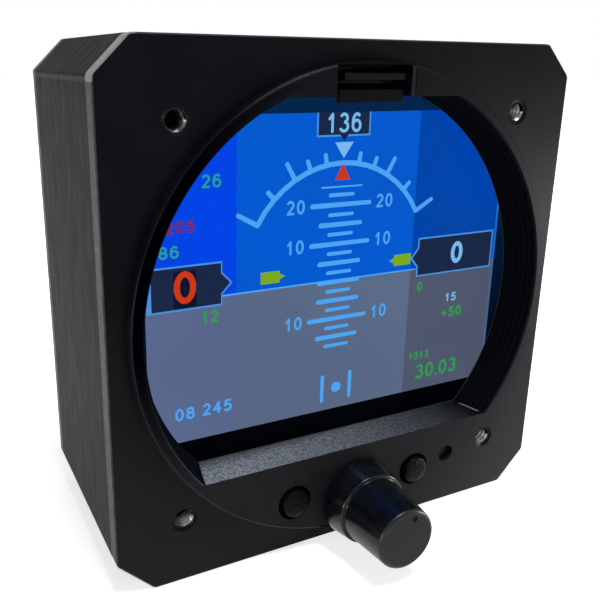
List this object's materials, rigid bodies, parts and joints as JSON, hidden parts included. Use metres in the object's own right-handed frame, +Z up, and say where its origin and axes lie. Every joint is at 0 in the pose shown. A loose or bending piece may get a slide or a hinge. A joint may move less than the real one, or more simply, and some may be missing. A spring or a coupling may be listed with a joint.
{
  "type": "electronic flight instrument",
  "caption": "Panel flight instrument: recessed attitude display in a black metal bezel with push-turn knob, buttons and card slot, on a square plastic case with rear ports.",
  "frame": {"origin": "centre of the four panel holes on the front face of the flange", "axes": "+X to the viewer's right, +Z up, -Y out of the flange towards the viewer"},
  "size_m": [0.0856, 0.0698, 0.0856],
  "materials": {
    "bezel_metal": "black anodised, finely blasted",
    "case_plastic": "printed in layers, unpainted",
    "dark_steel": "blackened",
    "gasket_rubber": "thin foam",
    "clear_glass": "polished",
    "display_picture": "lit display cell",
    "bright_steel": "plated",
    "clear_plastic": "clear acrylic",
    "flex_film": "polyimide film",
    "black_plastic": "moulded",
    "board_green": "glass laminate with green mask",
    "chip_black": "moulded package",
    "brass": "turned",
    "button_rubber": "fine moulded texture",
    "smoked_plastic": "smoked",
    "encoder_metal": "plated",
    "knob_gloss": "polished black",
    "knob_satin": "satin",
    "card_plastic": "moulded",
    "gold_contact": "gold plated",
    "ribbon_grey": "vinyl",
    "tube_silicone": "translucent silicone",
    "white_plastic": "fluoropolymer",
    "cable_black": "jacket"
  },
  "bodies": {
    "housing": {"front_bezel": "bezel_metal", "case_body": "case_plastic", "rear_cover": "case_plastic", "case_screws": "dark_steel", "glass_gasket": "gasket_rubber", "display_glass": "clear_glass", "lcd_cell": "display_picture", "backlight_frame": "bright_steel", "light_guide": "clear_plastic", "display_flex": "flex_film", "flex_connector": "black_plastic", "display_carrier": "black_plastic", "carrier_screws": "bright_steel", "main_board": "board_green", "board_screws": "bright_steel", "processor_shield": "bright_steel", "board_chips": "chip_black", "power_parts": "chip_black", "receiver_module": "bright_steel", "attitude_board": "board_green", "attitude_pillars": "brass", "attitude_sensors": "chip_black", "board_header": "black_plastic", "control_board": "board_green", "switch_body_left": "black_plastic", "switch_body_right": "black_plastic", "light_sensor": "chip_black", "sensor_guide": "smoked_plastic", "encoder_body": "encoder_metal", "encoder_washer": "bright_steel", "encoder_nut": "bright_steel", "push_dome": "bright_steel", "card_lip": "black_plastic", "socket_shell": "bright_steel", "socket_base": "black_plastic", "card_board": "board_green", "connector_shell": "bright_steel", "connector_insulator": "black_plastic", "connector_contacts": "gold_contact", "jack_screws": "bright_steel", "rear_ribbon": "ribbon_grey", "ribbon_header": "black_plastic", "pitot_fitting": "brass", "static_fitting": "brass", "fitting_nuts": "brass", "pressure_sensor_pitot": "chip_black", "pressure_sensor_static": "chip_black", "pressure_tubes": "tube_silicone", "antenna_connector": "brass", "antenna_insulator": "white_plastic", "antenna_cable": "cable_black"},
    "encoder_rotor": {"encoder_rotor": "black_plastic"},
    "knob": {"encoder_shaft": "encoder_metal", "knob_body": "knob_gloss", "knob_cap": "knob_satin"},
    "button_left": {"button_left": "button_rubber", "switch_plunger_left": "black_plastic"},
    "button_right": {"button_right": "button_rubber", "switch_plunger_right": "black_plastic"},
    "memory_card": {"memory_card": "card_plastic"}
  },
  "joints": [
    {"name": "encoder_turn", "type": "hinge", "parent": "housing", "child": "encoder_rotor", "pos_m": [0, 0, -0.0342], "axis": [0, 1, 0], "continuous": true},
    {"name": "knob_push", "type": "slide", "parent": "encoder_rotor", "child": "knob", "axis": [0, 1, 0], "range_m": [0, 0.0005], "stiffness_N_per_m": 5000, "springref_m": -0.0002},
    {"name": "button_left_press", "type": "slide", "parent": "housing", "child": "button_left", "axis": [0, 1, 0], "range_m": [0, 0.0003], "stiffness_N_per_m": 5000, "springref_m": -0.0002},
    {"name": "button_right_press", "type": "slide", "parent": "housing", "child": "button_right", "axis": [0, 1, 0], "range_m": [0, 0.0003], "stiffness_N_per_m": 5000, "springref_m": -0.0002},
    {"name": "card_slide", "type": "slide", "parent": "housing", "child": "memory_card", "axis": [0, 1, 0], "range_m": [-0.011, 0.0006]}
  ]
}
